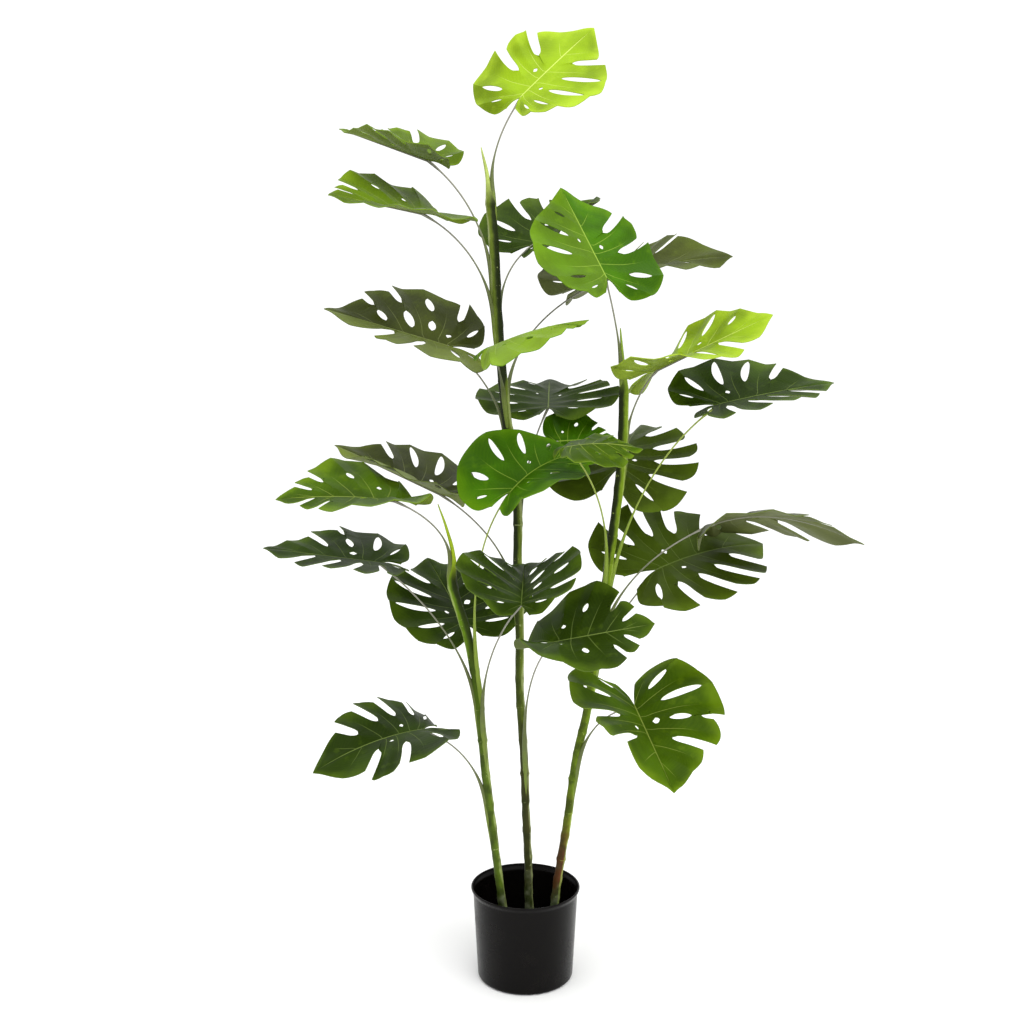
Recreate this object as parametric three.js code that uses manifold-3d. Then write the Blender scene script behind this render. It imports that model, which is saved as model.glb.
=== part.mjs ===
// Potted monstera plant: three tall stems in a black nursery pot, twenty-five leaves.
// Millimetres, Z up. The origin is the middle of the pot's underside; the front is -Y.
import * as THREE from 'three';
import { mergeVertices } from 'three/addons/utils/BufferGeometryUtils.js';
import Module from 'manifold-3d';

const wasm = await Module();
wasm.setup();

// Pot
const POT_HEIGHT = 130;
const POT_BASE_RADIUS = 66;
const POT_RIM_RADIUS = 72;
const POT_WALL = 2.4;
const POT_FLOOR = 4;
const LIP_RADIUS = 75;
const LIP_HEIGHT = 9;
const LIP_ROUND = 1.2;
const BASE_ROUND = 5;
const INNER_ROUND = 3;
// A rounding turns in two straight steps, which meet at this share of its radius from either face
const ROUND_BEND = 0.3;
const POT_SIDES = 32;

// Filler plug and the gap kept between touching pieces
const FIT_GAP = 0.3;
const FILLER_TOP = 67;
const FILLER_ROUND = 3;
const HOLE_PLAY = 0.6;
const HOLE_SIDES = 16;
const STEM_FOOT = 16;
const HOLE_FLOOR = STEM_FOOT - FIT_GAP;

// Stems: radius at the foot, at knee height and where the sheaths end; a spear of rolled young leaf
// stands in the top sheath
const STEM_SIDES = 8;
const STEM_STEP = 34;
const FOOT_RADIUS = 7.2;
const KNEE_RADIUS = 5.6;
const KNEE_LENGTH = 150;
const TOP_RADIUS = 6.8;
const SPEAR_FOOT = 3;
const SPEAR_POINT = 0.7;
const SPEAR_TAPER = 0.8;
const SHEATH_MOUTH = 30;

// Petioles
const PETIOLE_SIDES = 5;
const PETIOLE_STEPS = 6;
const PETIOLE_FOOT = 3.4;
const PETIOLE_THIN = 1.4;
const PETIOLE_KNUCKLE = 2.1;
const PETIOLE_LEAN = 0.1;
const PETIOLE_OFF_AXIS = 2;
const PETIOLE_SEAT = 3;
const PETIOLE_SINK = 0.8;
const FOOT_RUN = 0.5;
const KNUCKLE_RUN = 0.15;

// Leaf blade, in the flat, for a leaf of size 1: distances along and out from the midrib
const BLADE_LENGTH = 165;
const BLADE_THICKNESS = 1.2;
const RIB_REACH = 125;
const RIB_POWER = 2.2;
const RAY_BOW = 0.13;
const CORNER_CUT = 0.13;
const MARGIN_STEP = 0.095;
const OUTLINE = [
  [-38, 12], [-53, 40], [-44, 78], [-8, 102], [44, 106], [84, 93], [112, 68], [135, 36], [165, 0],
];
const MIDRIB_SPOTS = [0.9, 0.78, 0.64, 0.45];

// Openings: where their sides have points, as shares of their length, and the shape of a split,
// a round head that gives way to straight sides which widen towards the margin
const HOLE_SPOTS = [0.15, 0.5, 0.85];
const SMALL_HOLE_SPOTS = [0.3, 0.7];
const SMALL_HOLE = 0.1;
const SPLIT_SPOTS = [0.7, 0.34, 0.09];
const SPLIT_HEAD = 0.3;
const SPLIT_WIDTH = 0.8;
const SPLIT_FLARE = 0.35;

// Openings of a half blade: ray, then each opening's start and end along the ray and its width.
// An opening that ends at 1 is cut through the margin.
const HALVES = {
  ovals: [
    [0.20, [[0.50, 0.74, 6]]],
    [0.37, [[0.44, 0.75, 10]]],
    [0.55, [[0.42, 0.88, 10]]],
    [0.71, [[0.17, 0.24, 7], [0.40, 0.92, 10]]],
    [0.86, [[0.48, 0.78, 7]]],
  ],
  slots: [
    [0.20, [[0.46, 0.78, 7]]],
    [0.35, [[0.38, 0.82, 10]]],
    [0.49, [[0.16, 0.23, 7], [0.36, 0.92, 12]]],
    [0.63, [[0.36, 0.94, 11]]],
    [0.78, [[0.40, 1, 12]]],
  ],
  comb: [
    [0.24, [[0.44, 0.82, 8]]],
    [0.38, [[0.44, 1, 13]]],
    [0.50, [[0.14, 0.21, 7], [0.42, 1, 14]]],
    [0.63, [[0.40, 1, 16]]],
    [0.80, [[0.38, 1, 16]]],
  ],
  cleft: [
    [0.22, [[0.42, 0.70, 7]]],
    [0.39, [[0.40, 0.80, 11]]],
    [0.56, [[0.38, 1, 14]]],
    [0.65, [[0.14, 0.21, 8]]],
    [0.73, [[0.38, 1, 14]]],
  ],
  eyed: [
    [0.25, [[0.36, 0.76, 8]]],
    [0.42, [[0.33, 0.86, 12]]],
    [0.58, [[0.12, 0.21, 11], [0.33, 0.60, 10], [0.72, 1, 9]]],
    [0.74, [[0.35, 1, 12]]],
    [0.88, []],
  ],
  lace: [
    [0.20, [[0.46, 0.80, 8]]],
    [0.35, [[0.16, 0.23, 8], [0.54, 1, 13]]],
    [0.50, [[0.18, 0.36, 10], [0.54, 0.80, 11]]],
    [0.65, [[0.15, 0.46, 13], [0.62, 1, 12]]],
    [0.81, [[0.20, 0.48, 11], [0.62, 1, 12]]],
  ],
  whole: [
    [0.30, []],
    [0.47, [[0.24, 0.32, 8]]],
    [0.62, [[0.46, 0.62, 10]]],
    [0.80, [[0.55, 1, 9]]],
    [0.90, [[0.42, 1, 9]]],
  ],
};

// Where each stem runs, from the top of the filler up
const STEMS = {
  left: [
    [-28, -6, 69], [-31, -6, 99], [-38, -6, 155], [-46, -6, 225], [-55, -7, 301], [-64, -7, 408],
    [-78, -7, 487], [-98, -7, 560], [-96, -6, 594], [-105, -6, 633], [-116, -6, 665],
  ],
  centre: [
    [6, 12, 69], [5, 12, 98], [4, 12, 155], [1, 12, 225], [-2, 12, 311], [-8, 12, 408], [-8, 12, 487],
    [-11, 13, 587], [-11, 13, 649], [-28, 14, 799], [-37, 14, 905], [-42, 15, 1003], [-50, 15, 1086],
    [-58, 15, 1123],
  ],
  right: [
    [36, -6, 71], [40, -6, 101], [45, -6, 146], [57, -7, 225], [69, -7, 318], [82, -8, 379], [104, -8, 540],
    [114, -8, 621], [122, -8, 690], [126, -8, 749], [126, -8, 828], [121, -8, 895],
  ],
};
const SPEAR_LENGTH = { left: 72, centre: 40, right: 50 };
const STEM_TONE = { left: 0x5b6f33, centre: 0x5d5a2c, right: 0x6f7a35 };

// Leaf tones
const LIME = 0x9bc83c;
const BRIGHT = 0x528f1c;
const GREEN = 0x46701f;
const DARK = 0x2f4a1a;
const OLIVE = 0x3f4a22;

// Leaves: stem, height of the petiole's foot, its rise along the stem, base of the blade,
// heading, pitch and roll in degrees, size, share of the lobes' reach behind the base,
// folds of the left and right half, droop, twist towards the tip, how the halves are cut, tone
const LEAVES = [
  ['centre', 1064, 65, [-8, 5, 1183], 29, 42, 14, 0.87, 0.6, [8, -1], 5, 30, ['cleft', 'slots'], LIME],
  ['centre', 943, 110, [-123, 15, 1106], 173, 19, -7, 0.76, 0.8, [19, 19], 0, 4, ['ovals', 'cleft'], GREEN],
  ['centre', 899, 100, [-130, -15, 1039], 220, 8, -17, 0.87, 0.9, [14, 14], 2, -3, ['ovals', 'whole'], GREEN],
  ['centre', 899, 75, [10, 120, 1002], 40, 29, 8, 0.85, 1, [27, 27], 5, -9, ['cleft', 'ovals'], DARK],
  ['right', 838, 60, [101, -25, 959], 127, 51, 4, 0.9, 0.65, [2, 7], 0, -12, ['ovals', 'cleft'], BRIGHT],
  ['centre', 795, 100, [95, 185, 948], -16, 20, 8, 1.2, 0.9, [2, 24], 26, 32, ['cleft', 'ovals'], OLIVE],
  ['right', 736, 70, [167, -5, 840], -7, 26, 1, 1, 0.9, [-2, 17], 0, 46, ['ovals', 'slots'], LIME],
  ['right', 534, 190, [247, -10, 796], 12, 12, 11, 1, 0.85, [14, 14], 9, 2, ['slots', 'comb'], DARK],
  ['centre', 749, 80, [-101, 50, 868], 190, 17, -22, 1.05, 0.85, [15, 15], 0, 2, ['cleft', 'lace'], OLIVE],
  ['centre', 802, 45, [-46, -120, 876], 8, 25, 6, 0.76, 0.5, [-14, -4], 30, -8, ['ovals', 'whole'], BRIGHT],
  ['centre', 589, 130, [31, 85, 783], 88, 11, -2, 0.95, 1, [9, 9], 3, 0, ['ovals', 'cleft'], DARK],
  ['left', 410, 200, [-20, -80, 693], 40, 39, 11, 0.78, 1, [23, 26], 75, 38, ['ovals', 'whole'], BRIGHT],
  ['right', 555, 120, [46, -142, 757], 8, 11, 3, 0.57, 0.4, [-10, -5], 40, 28, ['whole', 'whole'], GREEN],
  ['right', 479, 150, [124, 65, 701], 73, 27, 3, 1, 1.1, [-13, -7], 35, -30, ['whole', 'comb'], DARK],
  ['right', 445, 60, [176, 25, 570], 29, 16, 18, 1.14, 1, [14, 9], 35, 2, ['comb', 'comb'], DARK],
  ['right', 479, 110, [245, -5, 638], -10, 23, -14, 1.05, 0.4, [-2, -6], 90, -20, ['cleft', 'whole'], OLIVE],
  ['centre', 311, 130, [29, -175, 522], -9, 13, 11, 0.78, 0.9, [10, 19], 0, 57, ['whole', 'whole'], DARK],
  ['left', 360, 110, [-7, -155, 564], 88, 15, -3, 0.86, 0.9, [36, 34], 18, -1, ['ovals', 'lace'], DARK],
  ['left', 396, 50, [-83, 75, 482], 114, 24, 19, 0.99, 0.9, [-8, 45], 0, 13, ['slots', 'eyed'], DARK],
  ['left', 389, 110, [-194, 10, 583], 184, 8, -3, 0.95, 0.75, [9, 9], 0, -5, ['comb', 'eyed'], DARK],
  ['left', 578, 60, [-167, -42, 675], 198, 10, -2, 0.94, 0.65, [14, 14], 19, -21, ['whole', 'whole'], GREEN],
  ['centre', 527, 90, [-115, 85, 663], 169, 23, 3, 1.01, 0.75, [17, 17], 0, -7, ['cleft', 'slots'], OLIVE],
  ['left', 246, 90, [-138, -20, 361], 203, -1, 0, 0.93, 0.65, [8, 8], 40, -29, ['cleft', 'comb'], DARK],
  ['right', 304, 80, [141, -66, 409], -76, -23, -2, 1, 1.05, [24, 24], 0, -13, ['eyed', 'cleft'], GREEN],
  ['centre', 695, 30, [40, 42, 742], 0, 4, 42, 0.5, 0.6, [2, 4], 8, 0, ['whole', 'whole'], BRIGHT],
];

const radians = (degrees) => THREE.MathUtils.degToRad(degrees);

function toSolid(geometry) {
  geometry.deleteAttribute('normal');
  geometry.deleteAttribute('uv');
  const welded = mergeVertices(geometry, 1e-4);
  return new wasm.Manifold(new wasm.Mesh({
    numProp: 3,
    vertProperties: new Float32Array(welded.attributes.position.array),
    triVerts: new Uint32Array(welded.index.array),
  }));
}

function toGeometry(solid) {
  const mesh = solid.getMesh();
  const geometry = new THREE.BufferGeometry();
  geometry.setAttribute('position', new THREE.BufferAttribute(new Float32Array(mesh.vertProperties), 3));
  geometry.setIndex(new THREE.BufferAttribute(new Uint32Array(mesh.triVerts), 1));
  geometry.computeVertexNormals();
  return geometry;
}

// A round rod along a curve, its radius a function of the distance run from 0 to 1
function rod(curve, sides, steps, radiusAt) {
  const circle = new THREE.Shape();
  for (let i = 0; i < sides; i += 1) {
    const angle = (2 * Math.PI * i) / sides;
    if (i === 0) circle.moveTo(Math.cos(angle), Math.sin(angle));
    else circle.lineTo(Math.cos(angle), Math.sin(angle));
  }
  circle.closePath();
  const geometry = new THREE.ExtrudeGeometry(circle, { steps, extrudePath: curve, curveSegments: 1 });
  const spine = curve.getSpacedPoints(steps);
  const position = geometry.attributes.position;
  const point = new THREE.Vector3();
  for (let i = 0; i < position.count; i += 1) {
    point.fromBufferAttribute(position, i);
    let nearest = 0;
    for (let k = 1; k <= steps; k += 1) {
      if (spine[k].distanceToSquared(point) < spine[nearest].distanceToSquared(point)) nearest = k;
    }
    point.sub(spine[nearest]).multiplyScalar(radiusAt(nearest / steps)).add(spine[nearest]);
    position.setXYZ(i, point.x, point.y, point.z);
  }
  return toSolid(geometry);
}

function stemCurve(name) {
  const points = STEMS[name].map((p) => new THREE.Vector3(...p));
  const foot = points[0].clone().setZ(STEM_FOOT);
  return new THREE.CatmullRomCurve3([foot, ...points], false, 'centripetal');
}

function stemRadius(along, length, spear) {
  const left = length - along;
  if (left < spear) return SPEAR_POINT + (SPEAR_FOOT - SPEAR_POINT) * (left / spear) ** SPEAR_TAPER;
  const mouth = (left - spear) / SHEATH_MOUTH;
  if (mouth < 1) return SPEAR_FOOT + (TOP_RADIUS - SPEAR_FOOT) * mouth;
  if (along < KNEE_LENGTH) {
    const k = along / KNEE_LENGTH;
    return FOOT_RADIUS + (KNEE_RADIUS - FOOT_RADIUS) * k * k * (3 - 2 * k);
  }
  const upper = length - spear - SHEATH_MOUTH - KNEE_LENGTH;
  return KNEE_RADIUS + (TOP_RADIUS - KNEE_RADIUS) * ((along - KNEE_LENGTH) / upper);
}

function stemSolid(name, grow) {
  const curve = stemCurve(name);
  const length = curve.getLength();
  const steps = Math.round(length / STEM_STEP);
  return rod(curve, STEM_SIDES, steps, (k) => stemRadius(k * length, length, SPEAR_LENGTH[name]) + grow);
}

// The point of the stem at a height, with the way it runs there
function stemAt(name, height) {
  const curve = stemCurve(name);
  let low = 0;
  let high = 1;
  for (let i = 0; i < 30; i += 1) {
    const middle = (low + high) / 2;
    if (curve.getPointAt(middle).z < height) low = middle;
    else high = middle;
  }
  return { point: curve.getPointAt(low), run: curve.getTangentAt(low) };
}

// A smooth run through evenly numbered points, 0 at the first and 1 at the last
function through(points, s) {
  const spans = points.length - 1;
  const place = Math.min(Math.max(s, 0), 1) * spans;
  const i = Math.min(Math.floor(place), spans - 1);
  const w = place - i;
  const at = (k) => points[Math.min(Math.max(k, 0), spans)];
  return [0, 1].map((axis) => {
    const b = at(i)[axis];
    const c = at(i + 1)[axis];
    const slopeIn = (c - at(i - 1)[axis]) / 2;
    const slopeOut = (at(i + 2)[axis] - b) / 2;
    const cubic = 2 * b - 2 * c + slopeIn + slopeOut;
    const square = 3 * c - 3 * b - 2 * slopeIn - slopeOut;
    return ((cubic * w + square) * w + slopeIn) * w + b;
  });
}

// The flat half blade: s turns from the notch at the petiole to the tip, t runs from midrib to margin
function flat(s, t) {
  const [edgeAlong, edgeOut] = through(OUTLINE, s);
  const rib = RIB_REACH * Math.max(s, 0) ** RIB_POWER;
  const bow = RAY_BOW * Math.sin(Math.PI * Math.min(Math.max(s, 0), 1));
  const along = edgeAlong - rib;
  const midAlong = rib + along / 2 - edgeOut * bow;
  const midOut = edgeOut / 2 + along * bow;
  const a = (1 - t) ** 2;
  const b = 2 * t * (1 - t);
  const c = t * t;
  return [a * rib + b * midAlong + c * edgeAlong, b * midOut + c * edgeOut];
}

function openingWidth([start, end, width], t) {
  const x = (t - start) / (end - start);
  if (x <= 0 || (end < 1 && x >= 1)) return 0;
  if (end < 1) return width * Math.sqrt(Math.max(Math.sin(Math.PI * x), 0));
  const k = Math.min(x / SPLIT_HEAD, 1);
  return width * (SPLIT_WIDTH * Math.sqrt(1 - (1 - k) ** 2) + SPLIT_FLARE * x);
}

// Half an opening's width at t, as a turn in s
function halfTurn(s, t, opening) {
  const step = 1e-3;
  const before = flat(s - step, t);
  const after = flat(s + step, t);
  const rate = Math.hypot(after[0] - before[0], after[1] - before[1]) / (2 * step);
  return (0.5 * openingWidth(opening, t)) / rate;
}

function halfBlade(gaps) {
  const cuts = gaps.flatMap(([s, openings]) => openings.filter((o) => o[1] === 1).map((o) => [s, o]));
  const rim = [[0, 0], [0, 0.5], [0, 1]];
  for (let k = 0; k <= cuts.length; k += 1) {
    const from = k === 0 ? 0 : cuts[k - 1][0] + halfTurn(cuts[k - 1][0], 1, cuts[k - 1][1]);
    const to = k === cuts.length ? 1 : cuts[k][0] - halfTurn(cuts[k][0], 1, cuts[k][1]);
    const count = Math.max(3, Math.round((to - from) / MARGIN_STEP));
    for (let i = k === 0 ? 1 : 0; i <= count; i += 1) {
      const q = i / count;
      rim.push([from + (to - from) * q, k === 0 ? 1 : 1 - CORNER_CUT * (1 - q) ** 3]);
    }
    if (k < cuts.length) {
      const [s, opening] = cuts[k];
      const spots = SPLIT_SPOTS.map((x) => opening[0] + (1 - CORNER_CUT - opening[0]) * x);
      spots.forEach((t) => rim.push([s - halfTurn(s, t, opening), t]));
      rim.push([s, opening[0]]);
      spots.reverse().forEach((t) => rim.push([s + halfTurn(s, t, opening), t]));
    }
  }
  MIDRIB_SPOTS.forEach((s) => rim.push([s, 0]));
  const holes = gaps.flatMap(([s, openings]) => openings.filter((o) => o[1] < 1).map((o) => {
    const shares = o[1] - o[0] > SMALL_HOLE ? HOLE_SPOTS : SMALL_HOLE_SPOTS;
    const spots = shares.map((x) => o[0] + (o[1] - o[0]) * x);
    return [
      [s, o[0]], ...spots.map((t) => [s + halfTurn(s, t, o), t]),
      [s, o[1]], ...spots.slice().reverse().map((t) => [s - halfTurn(s, t, o), t]),
    ];
  }));
  const onFlat = (path) => path.map(([s, t]) => new THREE.Vector2(...flat(s, t)));
  return { rim: onFlat(rim), holes: holes.map(onFlat) };
}

// The leaf's own directions: along the midrib, out to its left, up from its face
function leafFrame(leaf) {
  const heading = radians(leaf.heading);
  const pitch = radians(leaf.pitch);
  const along = new THREE.Vector3(
    Math.cos(pitch) * Math.cos(heading),
    Math.cos(pitch) * Math.sin(heading),
    Math.sin(pitch),
  );
  const level = new THREE.Vector3(-Math.sin(heading), Math.cos(heading), 0);
  const raised = new THREE.Vector3().crossVectors(along, level);
  const roll = radians(leaf.roll);
  const out = level.multiplyScalar(Math.cos(roll)).addScaledVector(raised, Math.sin(roll));
  return { along, out, up: new THREE.Vector3().crossVectors(along, out) };
}

function bladeSolid(leaf) {
  const { along, out, up } = leafFrame(leaf);
  const points = [];
  const lifts = [];
  const numbers = new Map();
  const faces = [];
  const number = (u, h, side) => {
    const key = `${u.toFixed(3)} ${(side * Math.abs(h)).toFixed(3)}`.replace('-0.000', '0.000');
    if (!numbers.has(key)) {
      const fold = radians(leaf.folds[side > 0 ? 0 : 1]);
      const turn = radians(leaf.twist) * (u / BLADE_LENGTH);
      const sag = leaf.droop * (u / BLADE_LENGTH) ** 2;
      const across = out.clone().applyAxisAngle(along, turn);
      const above = up.clone().applyAxisAngle(along, turn);
      numbers.set(key, points.length);
      lifts.push(above.clone().multiplyScalar(BLADE_THICKNESS / 2));
      points.push(new THREE.Vector3(...leaf.base)
        .addScaledVector(along, leaf.size * (u < 0 ? u * leaf.lobes : u))
        .addScaledVector(across, leaf.size * side * h * Math.cos(fold))
        .addScaledVector(above, leaf.size * h * Math.sin(fold))
        .addScaledVector(up, -leaf.size * sag));
    }
    return numbers.get(key);
  };
  leaf.cuts.forEach((cut, index) => {
    const side = index === 0 ? 1 : -1;
    const { rim, holes } = halfBlade(HALVES[cut]);
    const all = [...rim, ...holes.flat()];
    THREE.ShapeUtils.triangulateShape(rim, holes).forEach((corners) => {
      const [a, b, c] = corners.map((i) => all[i]);
      const turn = side * ((b.x - a.x) * (c.y - a.y) - (b.y - a.y) * (c.x - a.x));
      const face = corners.map((i) => number(all[i].x, all[i].y, side));
      faces.push(turn > 0 ? face : face.reverse());
    });
  });
  const position = [];
  const add = (i, way) => position.push(...points[i].clone().addScaledVector(lifts[i], way).toArray());
  const edges = new Set(faces.flatMap(([a, b, c]) => [`${a} ${b}`, `${b} ${c}`, `${c} ${a}`]));
  faces.forEach(([a, b, c]) => {
    [a, b, c].forEach((i) => add(i, 1));
    [c, b, a].forEach((i) => add(i, -1));
    [[a, b], [b, c], [c, a]].filter(([i, j]) => !edges.has(`${j} ${i}`)).forEach(([i, j]) => {
      [[j, 1], [i, 1], [i, -1], [j, 1], [i, -1], [j, -1]].forEach(([k, way]) => add(k, way));
    });
  });
  const geometry = new THREE.BufferGeometry();
  geometry.setAttribute('position', new THREE.Float32BufferAttribute(position, 3));
  return toSolid(geometry);
}

function petioleSolid(leaf) {
  const { along, up } = leafFrame(leaf);
  const { point, run } = stemAt(leaf.stem, leaf.foot);
  const base = new THREE.Vector3(...leaf.base);
  const end = base.addScaledVector(along, PETIOLE_SEAT).addScaledVector(up, -PETIOLE_SINK);
  const sideways = end.clone().sub(point).setZ(0);
  const way = sideways.clone().normalize();
  const start = point.clone().addScaledVector(way, PETIOLE_OFF_AXIS);
  const crest = start.clone().addScaledVector(run, leaf.rise).addScaledVector(sideways, PETIOLE_LEAN);
  const curve = new THREE.QuadraticBezierCurve3(start, crest, end);
  return rod(curve, PETIOLE_SIDES, PETIOLE_STEPS, (k) => {
    const thin = PETIOLE_FOOT + (PETIOLE_THIN - PETIOLE_FOOT) * Math.min(k / FOOT_RUN, 1);
    const swell = Math.max(0, (k - 1 + KNUCKLE_RUN) / KNUCKLE_RUN);
    return thin + (PETIOLE_KNUCKLE - PETIOLE_THIN) * swell;
  });
}

function leafSolid(leaf) {
  const petiole = petioleSolid(leaf).subtract(stemSolid(leaf.stem, FIT_GAP));
  return bladeSolid(leaf).add(petiole);
}

function turned(profile) {
  const points = profile.map((p) => new THREE.Vector2(...p));
  return toSolid(new THREE.LatheGeometry(points, POT_SIDES).rotateX(Math.PI / 2));
}

function potSolid() {
  const floorRadius = POT_BASE_RADIUS - POT_WALL;
  const mouthRadius = LIP_RADIUS - POT_WALL;
  const lipFoot = POT_HEIGHT - LIP_HEIGHT;
  return turned([
    [0, 0],
    [POT_BASE_RADIUS - BASE_ROUND, 0],
    [POT_BASE_RADIUS - ROUND_BEND * BASE_ROUND, ROUND_BEND * BASE_ROUND],
    [POT_BASE_RADIUS, BASE_ROUND],
    [POT_RIM_RADIUS, lipFoot],
    [LIP_RADIUS, POT_HEIGHT - LIP_ROUND],
    [LIP_RADIUS - ROUND_BEND * LIP_ROUND, POT_HEIGHT - ROUND_BEND * LIP_ROUND],
    [LIP_RADIUS - LIP_ROUND, POT_HEIGHT],
    [mouthRadius + ROUND_BEND * LIP_ROUND, POT_HEIGHT - ROUND_BEND * LIP_ROUND],
    [mouthRadius, POT_HEIGHT - LIP_ROUND],
    [POT_RIM_RADIUS - POT_WALL, lipFoot],
    [floorRadius, POT_FLOOR + INNER_ROUND],
    [floorRadius - INNER_ROUND, POT_FLOOR],
    [0, POT_FLOOR],
  ]);
}

// The pot's inner radius at a height, between its floor's rounding and its lip
function insideRadius(height) {
  const low = POT_FLOOR + INNER_ROUND;
  const k = (height - low) / (POT_HEIGHT - LIP_HEIGHT - low);
  return POT_BASE_RADIUS - POT_WALL + k * (POT_RIM_RADIUS - POT_BASE_RADIUS);
}

function fillerSolid() {
  const under = POT_FLOOR + FIT_GAP;
  const fitRadius = (height) => insideRadius(height) - FIT_GAP;
  const plug = turned([
    [0, under],
    [fitRadius(under) - FILLER_ROUND - 1, under],
    [fitRadius(under + FILLER_ROUND + 1), under + FILLER_ROUND + 1],
    [fitRadius(FILLER_TOP - FILLER_ROUND), FILLER_TOP - FILLER_ROUND],
    [fitRadius(FILLER_TOP) - FILLER_ROUND, FILLER_TOP],
    [0, FILLER_TOP],
  ]);
  const drillLength = FILLER_TOP;
  return Object.keys(STEMS).reduce((solid, name) => {
    const [x, y] = STEMS[name][0];
    const drillRadius = FOOT_RADIUS + HOLE_PLAY;
    const drill = new THREE.CylinderGeometry(drillRadius, drillRadius, drillLength, HOLE_SIDES);
    drill.rotateX(Math.PI / 2).translate(x, y, HOLE_FLOOR + drillLength / 2);
    return solid.subtract(toSolid(drill));
  }, plug);
}

const plant = new THREE.Group();
plant.name = 'potted_monstera';

function addPiece(name, solid, colour, roughness) {
  const material = new THREE.MeshStandardMaterial({ color: colour, roughness, metalness: 0 });
  const mesh = new THREE.Mesh(toGeometry(solid), material);
  mesh.name = name;
  plant.add(mesh);
}

addPiece('pot', potSolid(), 0x1b1b1a, 0.42);
addPiece('filler', fillerSolid(), 0x231f1b, 0.95);
Object.keys(STEMS).forEach((name) => addPiece(`stem_${name}`, stemSolid(name, 0), STEM_TONE[name], 0.6));
LEAVES.forEach((row, index) => {
  const [stem, foot, rise, base, heading, pitch, roll, size, lobes, folds, droop, twist, cuts, tone] = row;
  const leaf = { stem, foot, rise, base, heading, pitch, roll, size, lobes, folds, droop, twist, cuts };
  addPiece(`leaf_${String(index + 1).padStart(2, '0')}`, leafSolid(leaf), tone, 0.5);
});

export default plant;
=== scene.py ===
import math
import random

import bpy
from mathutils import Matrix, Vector, noise


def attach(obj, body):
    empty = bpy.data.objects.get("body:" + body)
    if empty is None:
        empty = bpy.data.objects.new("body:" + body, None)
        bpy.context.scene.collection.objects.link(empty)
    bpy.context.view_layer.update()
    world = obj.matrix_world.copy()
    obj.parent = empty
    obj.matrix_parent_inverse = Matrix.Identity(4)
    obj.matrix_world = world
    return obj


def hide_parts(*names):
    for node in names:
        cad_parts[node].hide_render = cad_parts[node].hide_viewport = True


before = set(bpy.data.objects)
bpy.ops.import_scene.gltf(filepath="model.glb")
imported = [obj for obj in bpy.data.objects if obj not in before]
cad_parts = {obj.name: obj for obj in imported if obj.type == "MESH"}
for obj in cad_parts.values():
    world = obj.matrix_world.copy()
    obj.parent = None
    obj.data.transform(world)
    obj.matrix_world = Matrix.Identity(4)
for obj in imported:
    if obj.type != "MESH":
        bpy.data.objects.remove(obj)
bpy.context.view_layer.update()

# Potted monstera: black nursery pot, cast filler, three stems, twenty-five leaves.
# The sizes below are in millimetres and degrees, as in the part's source.

MM = 0.001

# Pot and filler
POT_HEIGHT = 130
POT_SIDES = 96
POT_BASE_RADIUS = 66
POT_RIM_RADIUS = 72
POT_WALL = 2.4
POT_FLOOR = 4
LIP_RADIUS = 75
LIP_HEIGHT = 9
LIP_ROUND = 1.2
LIP_STEPS = 8
FLARE_STEPS = 6
BASE_ROUND = 5
BASE_STEPS = 6
INNER_ROUND = 3
INNER_STEPS = 5
FILLER_FOOT = 4.3
FILLER_HEEL = 8
FILLER_BEVEL = 4
FILLER_TOP = 67
FILLER_GAP = 0.3
FILLER_SIDES = 72
# The filler's top: scale and height of its coarse and fine lumps, how far it sinks, and its dip at a stem
FILLER_LUMPS = [(0.06, 1.6), (0.25, 0.5)]
FILLER_SINK = 1.4
STEM_DIP = 0.8
STEM_DIP_REACH = 9

# Stems
STEM_SIDES = 20
STEM_STEP = 4
STEM_FOOT = 16
FOOT_RADIUS = 7.2
KNEE_RADIUS = 5.6
KNEE_LENGTH = 150
TOP_RADIUS = 6.8
SPEAR_FOOT = 3
SPEAR_POINT = 0.7
SPEAR_TAPER = 0.8
SHEATH_MOUTH = 30
PATH_STEPS = 24
STEMS = {
    "left": [
        (-28, -6, 69), (-31, -6, 99), (-38, -6, 155), (-46, -6, 225), (-55, -7, 301), (-64, -7, 408),
        (-78, -7, 487), (-98, -7, 560), (-96, -6, 594), (-105, -6, 633), (-116, -6, 665),
    ],
    "centre": [
        (6, 12, 69), (5, 12, 98), (4, 12, 155), (1, 12, 225), (-2, 12, 311), (-8, 12, 408), (-8, 12, 487),
        (-11, 13, 587), (-11, 13, 649), (-28, 14, 799), (-37, 14, 905), (-42, 15, 1003), (-50, 15, 1086),
        (-58, 15, 1123),
    ],
    "right": [
        (36, -6, 71), (40, -6, 101), (45, -6, 146), (57, -7, 225), (69, -7, 318), (82, -8, 379),
        (104, -8, 540), (114, -8, 621), (122, -8, 690), (126, -8, 749), (126, -8, 828), (121, -8, 895),
    ],
}
SPEAR_LENGTH = {"left": 72, "centre": 40, "right": 50}
# How far up a stem its pale, sheathed side turns from right to left, and the length that it takes.
# That side is also painted as lit, and the other side in painted shade.
SHEATHED_LIT_TURN = {"left": 430, "centre": 830, "right": 2000}
SHEATHED_LIT_TURN_LENGTH = 80
STEM_SLOT = {"left": "stem_green", "centre": "stem_olive", "right": "stem_brown"}
# Where a stem's joints are: the lowest, the least and most from one to the next, and how much
# further apart they get by the spread's end
FIRST_JOINT = 66
JOINT_GAP = (24, 40)
JOINT_SPREAD = 0.9
JOINT_SPREAD_END = 700
# A joint's swelling as a share of the radius, its ridge and the long shoulder above it
JOINT_SWELL = (0.072, 0.16)
JOINT_REACH = 30
JOINT_RIDGE = 3.2
SHOULDER = 0.45
SHOULDER_LENGTH = 14
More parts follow.
